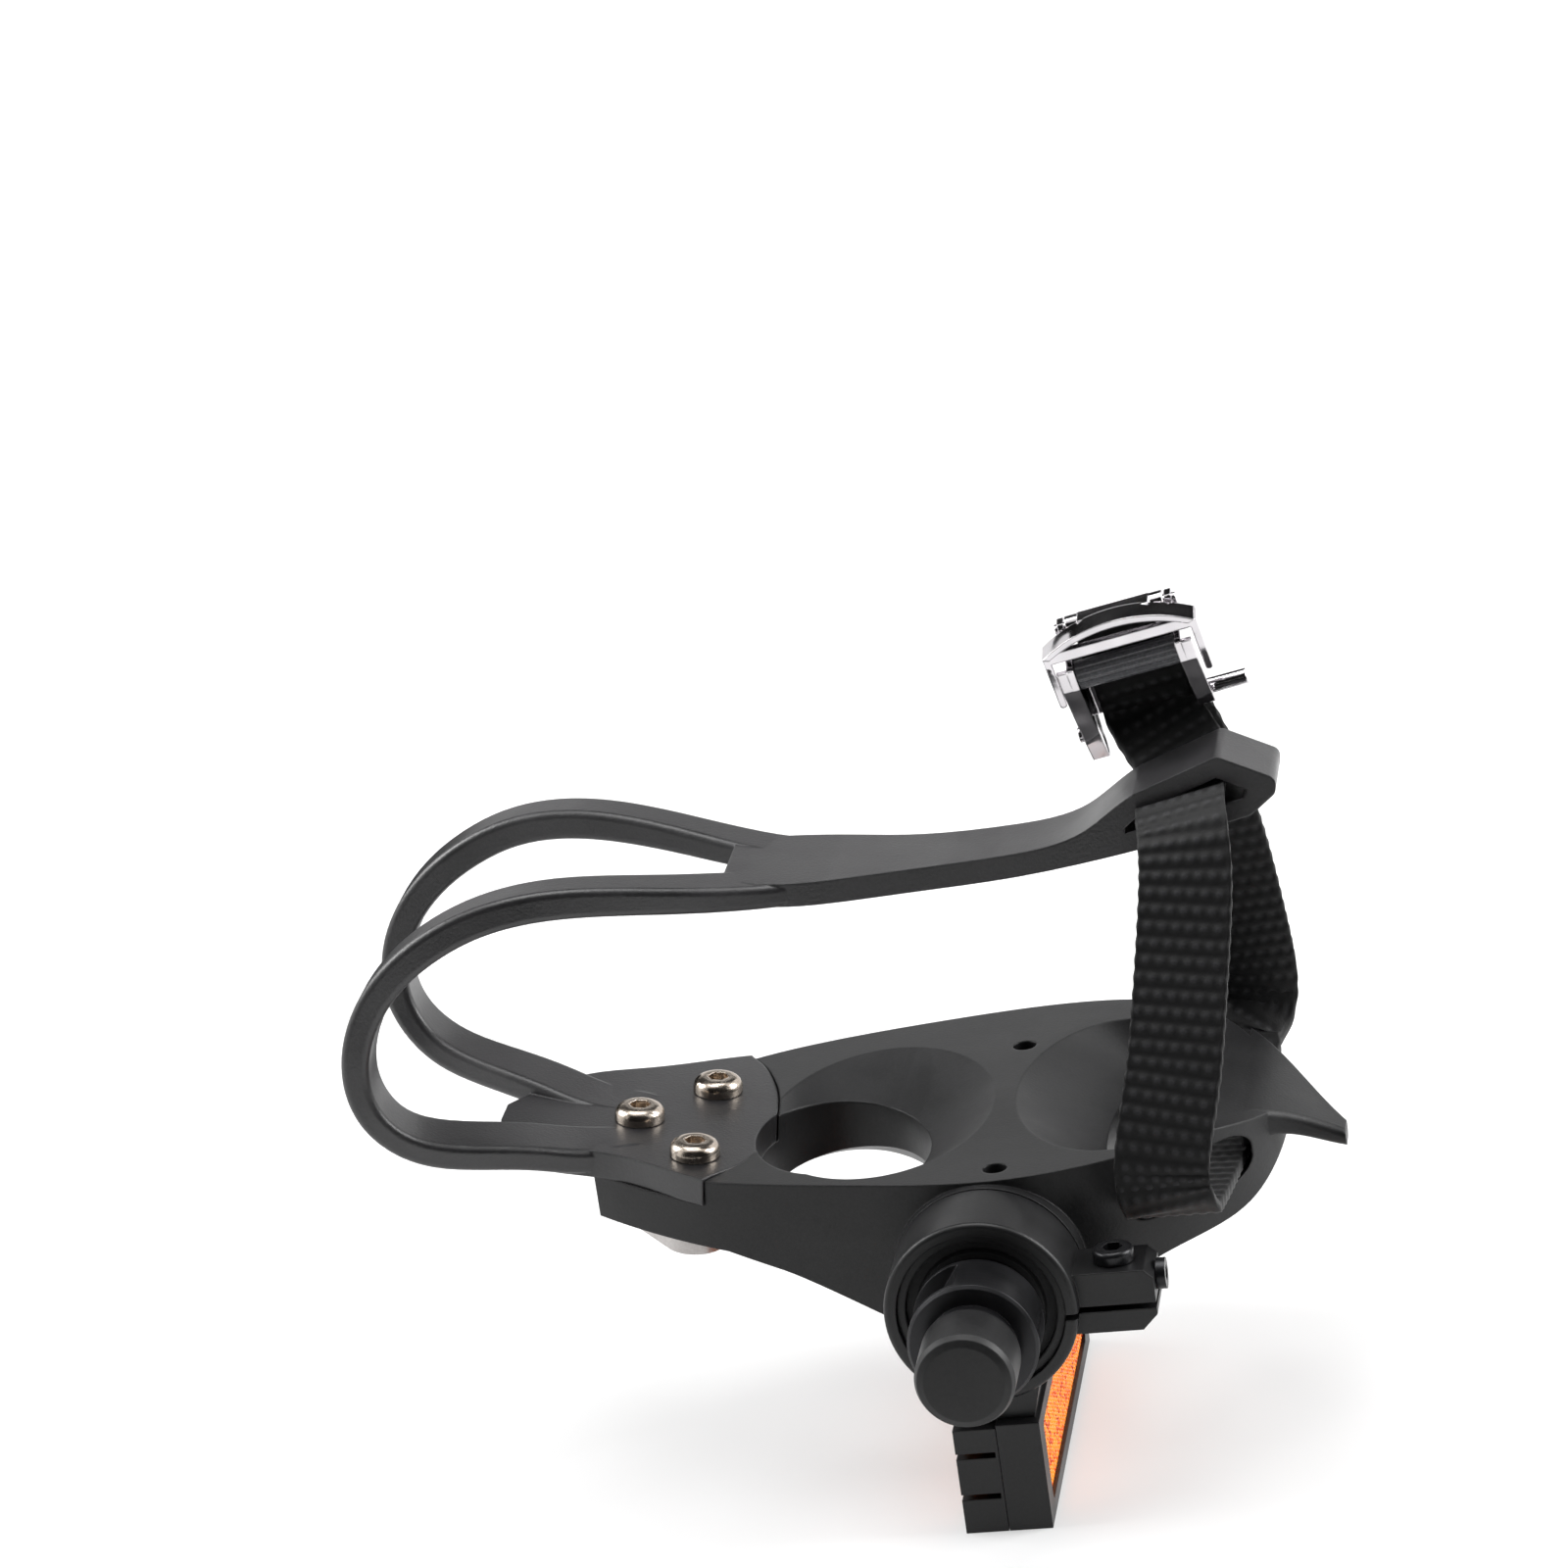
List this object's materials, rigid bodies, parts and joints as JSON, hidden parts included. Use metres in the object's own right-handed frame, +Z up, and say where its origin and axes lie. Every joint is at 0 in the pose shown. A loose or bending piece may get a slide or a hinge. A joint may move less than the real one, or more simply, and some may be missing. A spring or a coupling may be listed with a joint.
{
  "type": "toe clip pedal",
  "caption": "Moulded bicycle platform pedal with a two-hoop toe clip, a webbing strap in a cam buckle and a clamped amber reflector, on a threaded spindle with a pull-off cap.",
  "frame": {"origin": "on the spindle axis, at the face of the wrench seat that meets the crank", "axes": "+X to the toe, +Y along the spindle to the crank, +Z up from the tread"},
  "size_m": [0.1603, 0.116, 0.1357],
  "materials": {
    "body_nylon": "satin moulded",
    "clip_nylon": "satin moulded",
    "cap_plastic": "smooth",
    "housing_plastic": "satin moulded",
    "amber_lens": "prismatic",
    "black_steel": "blackened",
    "bearing_steel": "ground",
    "seal_rubber": "matte",
    "screw_steel": "nickel plated",
    "plate_aluminium": "plain",
    "webbing": "woven nylon",
    "buckle_chrome": "polished",
    "roller_plastic": "ribbed"
  },
  "bodies": {
    "spindle": {"spindle": "black_steel", "cone_nut": "bearing_steel", "lock_washer": "bearing_steel", "lock_nut": "bearing_steel"},
    "cap": {"thread_cap": "cap_plastic"},
    "pedal": {"pedal_body": "body_nylon", "inboard_seal": "seal_rubber", "inboard_cup": "bearing_steel", "inboard_balls": "bearing_steel", "outboard_cup": "bearing_steel", "outboard_balls": "bearing_steel", "dust_cap": "body_nylon", "toe_clip": "clip_nylon", "clip_screws": "screw_steel", "nut_plate": "plate_aluminium", "strap": "webbing", "buckle_frame": "buckle_chrome", "roller_pin": "buckle_chrome", "lever_pin": "buckle_chrome", "reflector_bracket": "housing_plastic", "reflector_cover": "housing_plastic", "lens_front": "amber_lens", "lens_rear": "amber_lens", "clamp_screw": "screw_steel", "clamp_nut": "screw_steel", "ear_screw": "screw_steel"},
    "roller": {"buckle_roller": "roller_plastic"},
    "lever": {"buckle_lever": "buckle_chrome"}
  },
  "joints": [
    {"name": "pedal_spin", "type": "hinge", "parent": "spindle", "child": "pedal", "pos_m": [0, -0.05, 0], "axis": [0, 1, 0], "continuous": true},
    {"name": "cap_pull", "type": "slide", "parent": "spindle", "child": "cap", "axis": [0, 1, 0], "range_m": [0, 0.045]},
    {"name": "roller_spin", "type": "hinge", "parent": "pedal", "child": "roller", "pos_m": [-0.0298, -0.06775, 0.0874], "axis": [0.9833, 0, -0.1822], "continuous": true},
    {"name": "lever_lift", "type": "hinge", "parent": "pedal", "child": "lever", "pos_m": [-0.02845, -0.07054, 0.09467], "axis": [0.9833, 0, -0.1822], "range_deg": [0, 60]}
  ]
}
